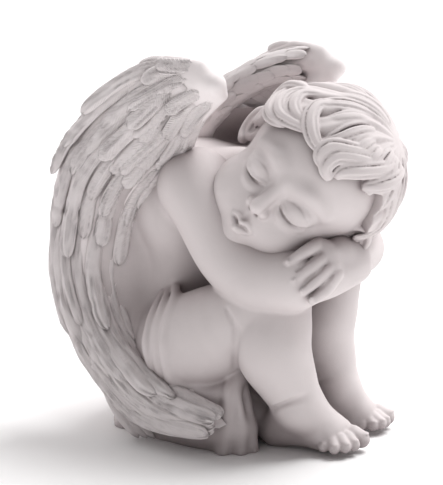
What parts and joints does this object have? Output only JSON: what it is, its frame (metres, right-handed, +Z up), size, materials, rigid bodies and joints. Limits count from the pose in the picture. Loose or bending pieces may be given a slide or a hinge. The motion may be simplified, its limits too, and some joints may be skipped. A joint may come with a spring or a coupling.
{
  "type": "sleeping angel statue",
  "caption": "Winged child angel asleep, seated with knees drawn up, head resting on folded arms, cast in matte white.",
  "frame": {"origin": "centre of the bounding box on the ground, under the seated figure", "axes": "+Z up, the figure's body faces -Y, its left hand side is +X, so its head is turned towards -X"},
  "size_m": [0.1423, 0.1858, 0.2029],
  "materials": {
    "cast_resin": "matte white cast stone resin, slightly warm and grey in its hollows"
  },
  "bodies": {
    "root": {"sleeping_angel": "cast_resin"}
  },
  "joints": []
}
